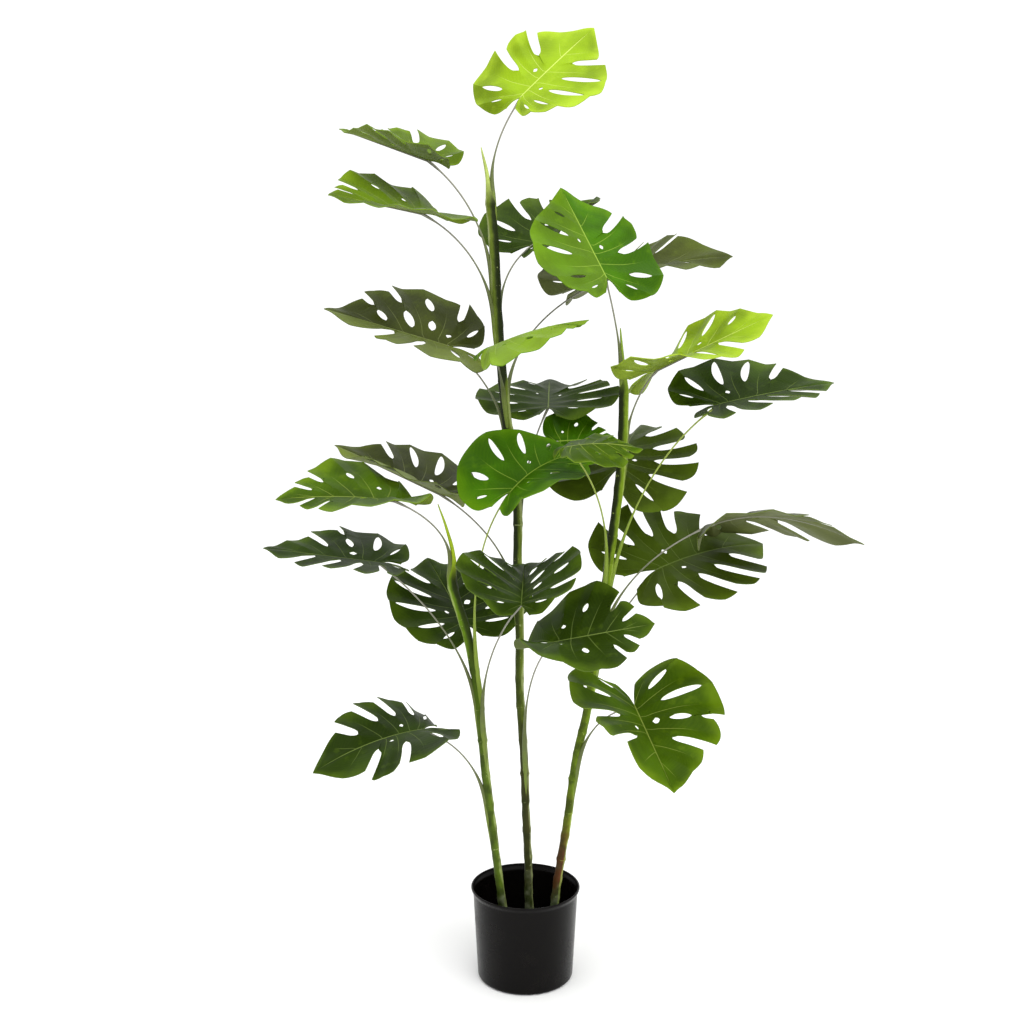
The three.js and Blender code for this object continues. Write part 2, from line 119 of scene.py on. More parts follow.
# A stem's lumps as a share of its radius, how much more there is of them at the foot, and their size.
# The stem is a little slimmer than its path's radius, so that the lumps keep to it.
LUMP = 0.07
FOOT_LUMP = 0.09
FOOT_LUMP_END = 360
FOOT_LUMP_FADE = 200
LUMP_TURN = 1.3
LUMP_LENGTH = 17
STEM_SLIMNESS = 0.96

# Leaf blade in the flat, for a leaf of size 1: the margin's points along and out from the midrib
BLADE_LENGTH = 165
RIB_REACH = 125
RIB_POWER = 2.2
RAY_BOW = 0.13
CORNER_CUT = 0.13
OUTLINE = [(-38, 12), (-53, 40), (-44, 78), (-8, 102), (44, 106), (84, 93), (112, 68), (135, 36), (165, 0)]

# Openings of a half blade: ray, then each opening's start and end along the ray and its width.
# An opening that ends at 1 is cut through the margin. A ray without openings only parts two fingers.
HALVES = {
    "ovals": [
        (0.20, [(0.50, 0.74, 6)]),
        (0.37, [(0.44, 0.75, 10)]),
        (0.55, [(0.42, 0.88, 10)]),
        (0.71, [(0.17, 0.24, 7), (0.40, 0.92, 10)]),
        (0.86, [(0.48, 0.78, 7)]),
    ],
    "slots": [
        (0.20, [(0.46, 0.78, 7)]),
        (0.35, [(0.38, 0.82, 10)]),
        (0.49, [(0.16, 0.23, 7), (0.36, 0.92, 12)]),
        (0.63, [(0.36, 0.94, 11)]),
        (0.78, [(0.40, 1, 12)]),
    ],
    "comb": [
        (0.24, [(0.44, 0.82, 8)]),
        (0.38, [(0.44, 1, 13)]),
        (0.50, [(0.14, 0.21, 7), (0.42, 1, 14)]),
        (0.63, [(0.40, 1, 16)]),
        (0.80, [(0.38, 1, 16)]),
    ],
    "cleft": [
        (0.22, [(0.42, 0.70, 7)]),
        (0.39, [(0.40, 0.80, 11)]),
        (0.56, [(0.38, 1, 14)]),
        (0.65, [(0.14, 0.21, 8)]),
        (0.73, [(0.38, 1, 14)]),
    ],
    "eyed": [
        (0.25, [(0.36, 0.76, 8)]),
        (0.42, [(0.33, 0.86, 12)]),
        (0.58, [(0.12, 0.21, 11), (0.33, 0.60, 10), (0.72, 1, 9)]),
        (0.74, [(0.35, 1, 12)]),
        (0.88, []),
    ],
    "lace": [
        (0.20, [(0.46, 0.80, 8)]),
        (0.35, [(0.16, 0.23, 8), (0.54, 1, 13)]),
        (0.50, [(0.18, 0.36, 10), (0.54, 0.80, 11)]),
        (0.65, [(0.15, 0.46, 13), (0.62, 1, 12)]),
        (0.81, [(0.20, 0.48, 11), (0.62, 1, 12)]),
    ],
    "whole": [
        (0.30, []),
        (0.47, [(0.24, 0.32, 8)]),
        (0.62, [(0.46, 0.62, 10)]),
        (0.80, [(0.55, 1, 9)]),
        (0.90, [(0.42, 1, 9)]),
    ],
}

# Leaves: stem, height of the petiole's foot, its rise along the stem, base of the blade, heading,
# pitch and roll, size, share of the lobes' reach behind the base, folds of the left and right half,
# droop, twist towards the tip, how the halves are cut, tone
LEAVES = [
    ("centre", 1064, 65, (-8, 5, 1183), 29, 42, 14, 0.87, 0.6,
     (8, -1), 5, 30, ("cleft", "slots"), "lime"),
    ("centre", 943, 110, (-123, 15, 1106), 173, 19, -7, 0.76, 0.8,
     (19, 19), 0, 4, ("ovals", "cleft"), "green"),
    ("centre", 899, 100, (-130, -15, 1039), 220, 8, -17, 0.87, 0.9,
     (14, 14), 2, -3, ("ovals", "whole"), "green"),
    ("centre", 899, 75, (10, 120, 1002), 40, 29, 8, 0.85, 1, (27, 27), 5, -9, ("cleft", "ovals"), "dark"),
    ("right", 838, 60, (101, -25, 959), 127, 51, 4, 0.9, 0.65,
     (2, 7), 0, -12, ("ovals", "cleft"), "bright"),
    ("centre", 795, 100, (95, 185, 948), -16, 20, 8, 1.2, 0.9,
     (2, 24), 26, 32, ("cleft", "ovals"), "olive"),
    ("right", 736, 70, (167, -5, 840), -7, 26, 1, 1, 0.9, (-2, 17), 0, 46, ("ovals", "slots"), "lime"),
    ("right", 534, 190, (247, -10, 796), 12, 12, 11, 1, 0.85, (14, 14), 9, 2, ("slots", "comb"), "dark"),
    ("centre", 749, 80, (-101, 50, 868), 190, 17, -22, 1.05, 0.85,
     (15, 15), 0, 2, ("cleft", "lace"), "olive"),
    ("centre", 802, 45, (-46, -120, 876), 8, 25, 6, 0.76, 0.5,
     (-14, -4), 30, -8, ("ovals", "whole"), "bright"),
    ("centre", 589, 130, (31, 85, 783), 88, 11, -2, 0.95, 1, (9, 9), 3, 0, ("ovals", "cleft"), "dark"),
    ("left", 410, 200, (-20, -80, 693), 40, 39, 11, 0.78, 1,
     (23, 26), 75, 38, ("ovals", "whole"), "bright"),
    ("right", 555, 120, (46, -142, 757), 8, 11, 3, 0.57, 0.4,
     (-10, -5), 40, 28, ("whole", "whole"), "green"),
    ("right", 479, 150, (124, 65, 701), 73, 27, 3, 1, 1.1, (-13, -7), 35, -30, ("whole", "comb"), "dark"),
    ("right", 445, 60, (176, 25, 570), 29, 16, 18, 1.14, 1, (14, 9), 35, 2, ("comb", "comb"), "dark"),
    ("right", 479, 110, (245, -5, 638), -10, 23, -14, 1.05, 0.4,
     (-2, -6), 90, -20, ("cleft", "whole"), "olive"),
    ("centre", 311, 130, (29, -175, 522), -9, 13, 11, 0.78, 0.9,
     (10, 19), 0, 57, ("whole", "whole"), "dark"),
    ("left", 360, 110, (-7, -155, 564), 88, 15, -3, 0.86, 0.9,
     (36, 34), 18, -1, ("ovals", "lace"), "dark"),
    ("left", 396, 50, (-83, 75, 482), 114, 24, 19, 0.99, 0.9, (-8, 45), 0, 13, ("slots", "eyed"), "dark"),
    ("left", 389, 110, (-194, 10, 583), 184, 8, -3, 0.95, 0.75, (9, 9), 0, -5, ("comb", "eyed"), "dark"),
    ("left", 578, 60, (-167, -42, 675), 198, 10, -2, 0.94, 0.65,
     (14, 14), 19, -21, ("whole", "whole"), "green"),
    ("centre", 527, 90, (-115, 85, 663), 169, 23, 3, 1.01, 0.75,
     (17, 17), 0, -7, ("cleft", "slots"), "olive"),
    ("left", 246, 90, (-138, -20, 361), 203, -1, 0, 0.93, 0.65,
     (8, 8), 40, -29, ("cleft", "comb"), "dark"),
    ("right", 304, 80, (141, -66, 409), -76, -23, -2, 1, 1.05,
     (24, 24), 0, -13, ("eyed", "cleft"), "green"),
    ("centre", 695, 30, (40, 42, 742), 0, 4, 42, 0.5, 0.6, (2, 4), 8, 0, ("whole", "whole"), "bright"),
]

# Leaves on a yellower stalk than the others
PALE_STALKS = {8, 12, 13}

# How finely a half blade is divided: columns of its fingers, rows from midrib to margin
FINGER_COLUMNS = 60
ROWS = 42
SEAM_WIDTH = 0.8
BLADE_THICKNESS = 1.0
# How far out from the midrib the fingers' columns have parted, as a share of the way
FINGERS_PARTED = 0.08
# A cut through the margin: the share of its length that rounds its inner end, its width there and
# how much wider it is at the margin, as shares of the opening's width
CUT_ROUND = 0.3
CUT_WIDTH = 0.8
CUT_SPREAD = 0.35
# A blade's relief: pleats along the veins, a wavy margin that turns down, a low crown between.
# It dies away at the tip.
PLEAT = 0.11
PLEAT_POWER = 1.3
PLEAT_START = 0.45
WAVE = 2.4
WAVE_COUNT = 2.4
MARGIN_DROP = 3.0
CROWN = 0.8
CROWN_RATE = 1.4
TIP_CALM = 12
# The midrib's ridge: its share of the blade's length, its radius at both ends, and its drop below
# the blade and its height as shares of that radius
MIDRIB_SHARE = 0.9
MIDRIB_FOOT = 1.7
MIDRIB_TIP = 0.45
MIDRIB_DROP = 0.7
MIDRIB_FLATNESS = 0.8
MIDRIB_RINGS = 22
MIDRIB_SIDES = 8

# Petioles
PETIOLE_RINGS = 40
PETIOLE_SIDES = 12
PETIOLE_FOOT = 3.4
PETIOLE_THIN = 1.1
PETIOLE_KNUCKLE = 1.9
PETIOLE_LEAN = 0.1
PETIOLE_OFF_AXIS = 2
PETIOLE_SEAT = 3
PETIOLE_SINK = 0.8
SHEATH_LENGTH = 75
SHEATH_POINT = 0.6
# Share of a petiole's rings that its sheath takes, and of the stem's radius at which the sheath runs
SHEATH_SHARE = 0.2
SHEATH_HUG = 0.8
# Shares of the free stalk: where it is clear of the stem, where it is slim, where its knuckle starts
HUG_END = 0.35
SLIM_END = 0.45
KNUCKLE_START = 0.86
KNUCKLE_LENGTH = 0.1

# Points closer than this are one, and edges flatter than this look smooth
WELD_GAP = 0.02
SMOOTH_ANGLE = 42

# Camera, floor and lights, in metres, degrees and watts: a light's place, aim, width and power
CAMERA_PLACE = (-0.0185, -1.852, 0.970)
CAMERA_TILT = 9.7
LENS_MM = 50
SENSOR_MM = 36
FLOOR_SIZE = 14
FLOOR_DROP = 0.0002
SKY_STRENGTH = 1.15
SOFTBOXES = {
    "key": ((1.2, -1.9, 2.4), (0, 0, 0.65), 2.6, 42),
    "top": ((0.0, -0.4, 2.7), (0, 0, 0.6), 1.8, 26),
}


# Shader values and finishes

class Value:
    """A shader value that Python's operators work on."""

    def __init__(self, finish, socket):
        self.finish = finish
        self.socket = socket

    def math(self, operation, *others):
        sockets = dict(enumerate((self, *others)))
        return self.finish.node("ShaderNodeMath", {"operation": operation}, sockets)

    def __add__(self, other):
        return self.math("ADD", other)

    __radd__ = __add__

    def __mul__(self, other):
        return self.math("MULTIPLY", other)

    __rmul__ = __mul__

    def __sub__(self, other):
        return self.math("SUBTRACT", other)

    def __rsub__(self, other):
        return (self * -1) + other


class Finish:
    """A node material built from values."""

    def __init__(self, name):
        self.material = bpy.data.materials.new(name)
        self.material.use_nodes = True
        self.tree = self.material.node_tree
        self.tree.nodes.clear()
        self.place = self.node("ShaderNodeTexCoord", {}, {}, "Object")

    def node(self, kind, settings, sockets, output=0):
        made = self.tree.nodes.new(kind)
        for name, setting in settings.items():
            setattr(made, name, setting)
        for key, value in sockets.items():
            if isinstance(value, Value):
                self.tree.links.new(value.socket, made.inputs[key])
            else:
                made.inputs[key].default_value = value
        return Value(self, made.outputs[output]) if made.outputs else None

    def attribute(self, name):
        return self.node("ShaderNodeAttribute", {"attribute_name": name}, {}, "Fac")

    def height(self):
        return self.node("ShaderNodeSeparateXYZ", {}, {0: self.place}, "Z")

    def grain(self, scale, detail=2.0):
        sockets = {"Vector": self.place, "Scale": scale, "Detail": detail}
        return self.node("ShaderNodeTexNoise", {}, sockets, "Fac")

    def ease(self, value, low, high):
        sockets = {"Value": value, "From Min": low, "From Max": high}
        return self.node("ShaderNodeMapRange", {"interpolation_type": "SMOOTHSTEP"}, sockets)

    def mix(self, share, first, second):
        settings = {"data_type": "RGBA", "clamp_factor": True}
        return self.node("ShaderNodeMix", settings, {0: share, 6: first, 7: second}, 2)

    def bump(self, height, distance):
        return self.node("ShaderNodeBump", {}, {"Height": height, "Distance": distance})

    def surface(self, **sockets):
        named = {name.replace("_", " "): value for name, value in sockets.items()}
        shader = self.node("ShaderNodeBsdfPrincipled", {}, named)
        self.node("ShaderNodeOutputMaterial", {}, {"Surface": shader})
        return self.material


def colour(red, green, blue):
    """A colour from its 0 to 255 screen values."""
    return tuple((value / 255) ** 2.2 for value in (red, green, blue)) + (1.0,)


def darker(tone, share):
    """A colour with the same hue and only a share of its brightness."""
    return tuple(value * share for value in tone[:3]) + (1.0,)


# A leaf's tones: body, edge, vein and underside
LEAF_TONES = {
    "lime": (colour(126, 156, 22), colour(152, 178, 44), colour(184, 202, 96), colour(140, 164, 50)),
    "bright": (colour(62, 104, 4), colour(94, 132, 14), colour(140, 168, 66), colour(92, 122, 30)),
    "green": (colour(66, 92, 10), colour(100, 126, 22), colour(144, 160, 74), colour(104, 124, 38)),
    "dark": (colour(48, 66, 16), colour(78, 100, 24), colour(112, 130, 66), colour(76, 88, 38)),
    "olive": (colour(64, 72, 24), colour(84, 98, 32), colour(122, 132, 78), colour(92, 100, 52)),
}
# How much of a leaf's margin has turned to the edge tone, and how glossy its face is
YELLOWING = {"lime": 0.6, "bright": 0.5, "green": 0.65, "dark": 0.6, "olive": 0.5}
LEAF_GLOSS = {"lime": 0.07, "bright": 0.06, "green": 0.05, "dark": 0.05, "olive": 0.08}

# Leaves whose left and right halves are paler than their tone, by how much; on leaf 5 this is painted light
# on the half that faces the key light
PALE_HALF_TONE = colour(150, 172, 50)
PALE_HALVES = {
    2: (0.12, 0.1), 3: (0.08, 0.12), 5: (0.14, 0.0), 9: (0.22, 0.0), 10: (0.05, 0.36),
    14: (0.1, 0.1), 15: (0.08, 0.1), 22: (0.25, 0.0),
}

# A petiole's tones: sheath, foot and top
PETIOLE_TONES = {
    "grey_green": (colour(110, 128, 44), colour(92, 102, 54), colour(146, 144, 132)),
    "yellow_green": (colour(108, 130, 34), colour(126, 148, 50), colour(162, 178, 84)),
}

# A stem's tones: foot, middle, top, pointed tip and ringed scars; the scars' tone also paints a highlight
# strip along the lit side
STEM_TONES = {
    "left": (
        colour(66, 76, 40), colour(84, 106, 30), colour(92, 122, 18),
        colour(150, 174, 38), colour(170, 184, 112),
    ),
    "centre": (
        colour(50, 58, 24), colour(58, 58, 24), colour(92, 108, 36),
        colour(166, 182, 96), colour(168, 178, 118),
    ),
    "right": (
        colour(72, 84, 52), colour(88, 50, 30), colour(106, 130, 28),
        colour(126, 150, 56), colour(176, 196, 98),
    ),
}
# The height in metres above which a stem's top tone takes over
TOP_TONE_FROM = {"left": 0.3, "centre": 0.3, "right": 0.16}
# Dark bark, also painted as shade on the stem's side away from the light
BARK_AND_SHADE = colour(34, 42, 14)
ASH = colour(150, 156, 128)


def vein_share(finish, cloud):
    """How much of a spot is vein: the midrib, and for each finger a lateral vein that fades outwards."""
    reach = finish.attribute("reach")
    rib = 1 - finish.ease(finish.attribute("rib_mm") + reach * 1.5, 0.7, 1.4)
    width = finish.attribute("vein_mm") + finish.ease(reach, 0.3, 0.85) * 0.6
    lateral = (1 - finish.ease(width, 0.25, 0.85)) * (1 - finish.ease(reach + cloud * 0.3, 0.6, 1.0))
    return rib.math("MAXIMUM", lateral * 0.6)


def side_veins(finish):
    """Fine veins that leave the lateral ones at a slant."""
    finger = finish.attribute("finger").math("FRACT")
    slant = (finger - 0.5).math("ABSOLUTE") * 5.0
    wander = finish.grain(30.0) * 1.4
    return ((finish.attribute("reach") * 13.0 - slant + wander) * (2 * math.pi)).math("SINE") * 0.5 + 0.5


def face_finish(tone):
    body, edge, vein, _ = LEAF_TONES[tone]
    finish = Finish(f"leaf_{tone}_face")
    cloud = finish.grain(14.0, 3.0)
    spread = finish.mix(finish.ease(cloud, 0.38, 0.66), darker(body, 0.6), body)
    fleck = finish.ease(finish.grain(70.0, 4.0), 0.55, 0.75)
    dappled = finish.mix(fleck * 0.25, spread, edge)
    yellowing = finish.ease(finish.attribute("reach") + (cloud - 0.5) * 0.9, 0.72, 1.1)
    tinted = finish.mix(yellowing * YELLOWING[tone], dappled, edge)
    veins = vein_share(finish, cloud)
    fine = side_veins(finish)
    # Some halves are painted paler; on leaf 5 this is painted light on its lit half
    paled_halves = finish.mix(finish.attribute("paler_half") * (cloud + 0.5), tinted, PALE_HALF_TONE)
    lined = finish.mix(fine * cloud * 0.1, paled_halves, edge)
    relief = veins * -0.8 + fine * 0.08 + finish.grain(900.0) * 0.1
    return finish.surface(
        Base_Color=finish.mix(veins * 0.75, lined, vein),
        Roughness=cloud * 0.24 + 0.34,
        Specular_IOR_Level=LEAF_GLOSS[tone],
        Normal=finish.bump(relief, 0.0006),
    )


def underside_finish(tone):
    _, _, vein, under = LEAF_TONES[tone]
    finish = Finish(f"leaf_{tone}_underside")
    cloud = finish.grain(18.0, 3.0)
    dappled = finish.mix(finish.ease(cloud, 0.3, 0.7), darker(under, 0.7), under)
    # The same halves are painted paler underneath, as on the face, where leaf 5's paler half is painted
    # light
    spread = finish.mix(finish.attribute("paler_half") * (cloud + 0.5), dappled, PALE_HALF_TONE)
    veins = vein_share(finish, cloud)
    relief = veins * 1.1 + side_veins(finish) * 0.12 + finish.grain(800.0) * 0.15
    return finish.surface(
        Base_Color=finish.mix(veins * 0.5, spread, vein),
        Roughness=finish.grain(50.0) * 0.12 + 0.55,
        Specular_IOR_Level=0.15,
        Normal=finish.bump(relief, 0.0006),
    )


def edge_finish(tone):
    edge = LEAF_TONES[tone][1]
    finish = Finish(f"leaf_{tone}_edge")
    return finish.surface(
        Base_Color=finish.mix(finish.grain(120.0), darker(edge, 0.7), edge),
        Roughness=0.55,
        Specular_IOR_Level=0.2,
    )


def petiole_finish(tone):
    """A stalk that goes from its sheath's tone to a paler one at the blade."""
    sheath, foot, top = PETIOLE_TONES[tone]
    finish = Finish(f"petiole_{tone}")
    along = finish.attribute("run")
    cloud = finish.grain(90.0, 3.0)
    low = finish.mix(finish.ease(along + (cloud - 0.5) * 0.2, 0.12, 0.3), sheath, foot)
    shade = finish.mix(finish.ease(along + (cloud - 0.5) * 0.3, 0.3, 0.85), low, top)
    streaks = finish.grain(500.0, 2.0)
    return finish.surface(
        Base_Color=finish.mix(streaks * 0.4, shade, darker(foot, 0.4)),
        Roughness=finish.grain(150.0) * 0.15 + 0.4,
        Specular_IOR_Level=0.3,
        Normal=finish.bump(streaks, 0.0003),
    )


def stem_finish(name):
    """A stem's colour by its height above the ground, mottled, with pale rings at its joints.
    One side is dark bark with painted shade over it, and the other the lighter green of old sheaths
    with a painted highlight strip along it."""
    foot, middle, top, spear, scar_and_highlight = STEM_TONES[name]
    turns = TOP_TONE_FROM[name]
    finish = Finish(f"{STEM_SLOT[name]}_bark")
    height = finish.height()
    cloud = finish.grain(45.0, 4.0)
    wander = (cloud - 0.5) * 0.16
    pale_foot = finish.mix(finish.ease(finish.grain(60.0, 4.0), 0.42, 0.62) * 0.45, foot, ASH)
    low = finish.mix(finish.ease(height + wander, 0.1, 0.16), pale_foot, middle)
    upper = finish.mix(finish.ease(height + wander, turns, turns + 0.12), low, top)
    # Painted shade darkens the side away from the pale sheathed side, more so higher up, over the real dark
    # bark; a painted highlight strip in the scars' tone runs along the sheathed side
    sheathed_and_lit = finish.attribute("sheathed_and_lit")
    lit_green_share = finish.ease(sheathed_and_lit + (cloud - 0.5) * 1.0, -0.3, 0.5)
    climb = finish.ease(height, 0.3, 0.6) * 0.6 + 0.4
    shaded_side = finish.mix((1 - lit_green_share) * climb, upper, BARK_AND_SHADE)
    lit_strip = finish.ease(sheathed_and_lit + (finish.grain(20.0) - 0.5) * 1.6, 0.5, 0.85)
    lit = finish.mix(lit_strip * 0.55, shaded_side, scar_and_highlight)
    tipped = finish.mix(1 - finish.ease(finish.attribute("left_mm") + wander * 60, -5.0, 35.0), lit, spear)
    blotch = finish.ease(finish.grain(55.0, 5.0), 0.44, 0.66)
    weathered = 1 - finish.ease(height, 0.25, 0.6) * 0.6
    mottled = finish.mix(blotch * weathered * 0.6, tipped, BARK_AND_SHADE)
    ring = 1 - finish.ease(finish.attribute("joint_mm") + (finish.grain(300.0) - 0.5) * 3.0, 0.2, 1.2)
    patchy = ring * finish.ease(finish.grain(160.0), 0.46, 0.6)
    speck = finish.ease(finish.grain(190.0, 3.0), 0.68, 0.74)
    marked = finish.mix(patchy.math("MAXIMUM", speck) * 0.5, mottled, scar_and_highlight)
    fibre = finish.grain(420.0, 3.0)
    return finish.surface(
        Base_Color=marked,
        Roughness=finish.grain(80.0) * 0.2 + 0.42,
        Specular_IOR_Level=0.12,
        Normal=finish.bump(fibre * 0.6 + blotch * 0.4 - ring * 0.6, 0.0005),
    )


def pot_finish():
    finish = Finish("pot_satin_black")
    mould = finish.grain(1600.0, 2.0)
    scuff = finish.ease(finish.grain(30.0, 5.0), 0.5, 0.75)
    return finish.surface(
        Base_Color=finish.mix(scuff * 0.5, colour(15, 13, 12), colour(23, 21, 19)),
        Roughness=scuff * 0.1 + 0.24,
        Specular_IOR_Level=0.095,
        Normal=finish.bump(mould, 0.00012),
    )


def filler_finish():
    finish = Finish("filler_cast")
    grit = finish.grain(700.0, 4.0)
    pool = finish.ease(finish.grain(40.0, 4.0), 0.35, 0.7)
    return finish.surface(
        Base_Color=finish.mix(pool, colour(16, 14, 12), colour(30, 27, 24)),
        Roughness=0.92,
        Specular_IOR_Level=0.1,
        Normal=finish.bump(grit + pool, 0.0015),
    )


# Making pieces

def deselect():
    bpy.ops.object.select_all(action="DESELECT")


def in_edit_mode(piece, work):
    bpy.context.view_layer.objects.active = piece
    bpy.ops.object.mode_set(mode="EDIT")
    work()
    bpy.ops.object.mode_set(mode="OBJECT")


def add_grid(name, columns, rows):
    deselect()
    bpy.ops.mesh.primitive_grid_add(x_subdivisions=columns, y_subdivisions=rows, size=1)
    piece = bpy.context.object
    piece.name = name
    return piece


def put_values(piece, name, values):
    layer = piece.data.attributes.new(name, "FLOAT", "POINT")
    layer.data.foreach_set("value", values)


def join(first, *others):
    deselect()
    for other in (first, *others):
        other.select_set(True)
    bpy.context.view_layer.objects.active = first
    bpy.ops.object.join()
    return first


def weld():
    bpy.ops.mesh.select_all(action="SELECT")
    bpy.ops.mesh.remove_doubles(threshold=WELD_GAP * MM)


def finish_piece(piece, slot, *nodes):
    deselect()
    piece.select_set(True)
    bpy.context.view_layer.objects.active = piece
    bpy.ops.object.shade_smooth_by_angle(angle=math.radians(SMOOTH_ANGLE))
    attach(piece, "root")
    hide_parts(*nodes)
    return piece


def roll_tube(name, rings, sides, place, values, material):
    """A closed rod, rolled from a grid: place gives a point from the way along and round it."""
    piece = add_grid(name, rings, sides)
    spots = []
    for vertex in piece.data.vertices:
        k = vertex.co.x + 0.5
        turn = 2 * math.pi * (vertex.co.y + 0.5)
        spots.append((k, turn))
        vertex.co = place(k, turn) * MM
    for label, measure in values.items():
        put_values(piece, label, [measure(k, turn) for k, turn in spots])
    piece.data.materials.append(material)

    def close():
        weld()
        bpy.ops.mesh.fill_holes(sides=0)
        bpy.ops.mesh.select_all(action="SELECT")
        bpy.ops.mesh.normals_make_consistent(inside=False)

    in_edit_mode(piece, close)
    return piece


def ease(value):
    value = min(max(value, 0.0), 1.0)
    return value * value * (3 - 2 * value)


# Stems

class StemPath:
    """A stem's centre line through its foot and points, measured along its length."""

    def __init__(self, name):
        points = [Vector(point) for point in STEMS[name]]
        points.insert(0, Vector((points[0].x, points[0].y, STEM_FOOT)))
        before = points[0] * 2 - points[1]
        after = points[-1] * 2 - points[-2]
        points = [before, *points, after]
        self.name = name
        self.spots = []
        for i in range(1, len(points) - 2):
            for j in range(PATH_STEPS):
                self.spots.append(self.between(points[i - 1:i + 3], j / PATH_STEPS))
        self.spots.append(points[-2])
        self.runs = [0.0]
        for a, b in zip(self.spots, self.spots[1:]):
            self.runs.append(self.runs[-1] + (b - a).length)
        self.length = self.runs[-1]

    @staticmethod
    def between(four, w):
        """A point w of the way from the second of four points to the third."""
        a, b, c, d = four
        ab, bc, cd = [math.sqrt((q - p).length) for p, q in zip(four, four[1:])]
        slope_in = ((b - a) / ab - (c - a) / (ab + bc) + (c - b) / bc) * bc
        slope_out = ((c - b) / bc - (d - b) / (bc + cd) + (d - c) / cd) * bc
        cubic = b * 2 - c * 2 + slope_in + slope_out
        square = (c - b) * 3 - slope_in * 2 - slope_out
        return cubic * w ** 3 + square * w * w + slope_in * w + b

    def at(self, run):
        """The centre line's point at a run along it."""
        run = min(max(run, 0.0), self.length)
        low, high = 0, len(self.runs) - 1
        while high - low > 1:
            middle = (low + high) // 2
            if self.runs[middle] <= run:
                low = middle
            else:
                high = middle
        share = (run - self.runs[low]) / (self.runs[high] - self.runs[low])
        return self.spots[low].lerp(self.spots[high], share)

    def way(self, run):
        return (self.at(run + 2) - self.at(run - 2)).normalized()

    def run_at(self, height):
        """The run at which the centre line reaches a height."""
        low, high = 0.0, self.length
        for _ in range(30):
            middle = (low + high) / 2
            if self.at(middle).z < height:
                low = middle
            else:
                high = middle
        return low

    def radius(self, run):
        left = self.length - run
        spear = SPEAR_LENGTH[self.name]
        if left < spear:
            return SPEAR_POINT + (SPEAR_FOOT - SPEAR_POINT) * (left / spear) ** SPEAR_TAPER
        if left < spear + SHEATH_MOUTH:
            return SPEAR_FOOT + (TOP_RADIUS - SPEAR_FOOT) * (left - spear) / SHEATH_MOUTH
        if run < KNEE_LENGTH:
            return FOOT_RADIUS + (KNEE_RADIUS - FOOT_RADIUS) * ease(run / KNEE_LENGTH)
        share = (run - KNEE_LENGTH) / (self.length - spear - SHEATH_MOUTH - KNEE_LENGTH)
        return KNEE_RADIUS + (TOP_RADIUS - KNEE_RADIUS) * share


paths = {name: StemPath(name) for name in STEMS}


def joint_runs(path, chance):
    """Where a stem's joints are: close together low down, further apart above."""
    runs = []
    run = FIRST_JOINT
    while run < path.length - SPEAR_LENGTH[path.name] - SHEATH_MOUTH:
        runs.append(run)
        run += chance.uniform(*JOINT_GAP) * (1 + JOINT_SPREAD * ease(run / JOINT_SPREAD_END))
    return runs


def joint_shape(gap):
    """How much of its full swelling a joint has at a gap above it, or below it where negative."""
    if abs(gap) > JOINT_REACH:
        return 0.0
    ridge = math.exp(-(gap / JOINT_RIDGE) ** 2)
    if gap <= 0:
        return ridge
    return ridge + SHOULDER * math.exp(-(gap / SHOULDER_LENGTH) ** 2)


def make_stem(name, material):
    path = paths[name]
    chance = random.Random(sum(map(ord, name)))
    joints = joint_runs(path, chance)
    swells = [chance.uniform(*JOINT_SWELL) for _ in joints]
    spear = SPEAR_LENGTH[name]
    rings = round(path.length / STEM_STEP)

    def radius(run, turn):
        size = path.radius(run) * STEM_SLIMNESS
        for joint, swell in zip(joints, swells):
            size *= 1 + swell * joint_shape(run - joint)
        around = Vector((math.cos(turn) * LUMP_TURN, math.sin(turn) * LUMP_TURN, run / LUMP_LENGTH))
        lump = LUMP + FOOT_LUMP * ease((FOOT_LUMP_END - run) / FOOT_LUMP_FADE)
        return size * (1 + lump * noise.noise(around))

    def place(k, turn):
        run = k * path.length
        along = path.way(run)
        side = Vector((1, 0, 0))
        side = (side - along * side.dot(along)).normalized()
        back = along.cross(side)
        size = radius(run, turn)
        return path.at(run) + side * (size * math.cos(turn)) + back * (size * math.sin(turn))

    def sheathed_lit_side(run):
        """The way the stem's pale sheathed side faces: right low down, left above the stem's turn. It is
        painted as the lit side, with painted shade opposite.
        """
        return math.pi * ease((run - SHEATHED_LIT_TURN[name]) / SHEATHED_LIT_TURN_LENGTH + 0.5)

    values = {
        "joint_mm": lambda k, turn: min(abs(k * path.length - joint) for joint in joints),
        "left_mm": lambda k, turn: (1 - k) * path.length - spear,
        "sheathed_and_lit": lambda k, turn: math.cos(turn - sheathed_lit_side(k * path.length)),
    }
    stem = roll_tube(f"stem_{name}_jointed", rings, STEM_SIDES, place, values, material)
    return finish_piece(stem, STEM_SLOT[name], f"stem_{name}")


# Leaves

def through(points, s):
    """A smooth run through evenly numbered points, 0 at the first and 1 at the last."""
    spans = len(points) - 1
    place = min(max(s, 0.0), 1.0) * spans
    i = min(int(place), spans - 1)
    w = place - i
    a, b, c, d = (points[min(max(k, 0), spans)] for k in (i - 1, i, i + 1, i + 2))
    run = []
    for p, q, r, t in zip(a, b, c, d):
        slope_in = (r - p) / 2
        slope_out = (t - q) / 2
        cubic = 2 * q - 2 * r + slope_in + slope_out
        square = 3 * r - 3 * q - 2 * slope_in - slope_out
        run.append(cubic * w ** 3 + square * w * w + slope_in * w + q)
    return run


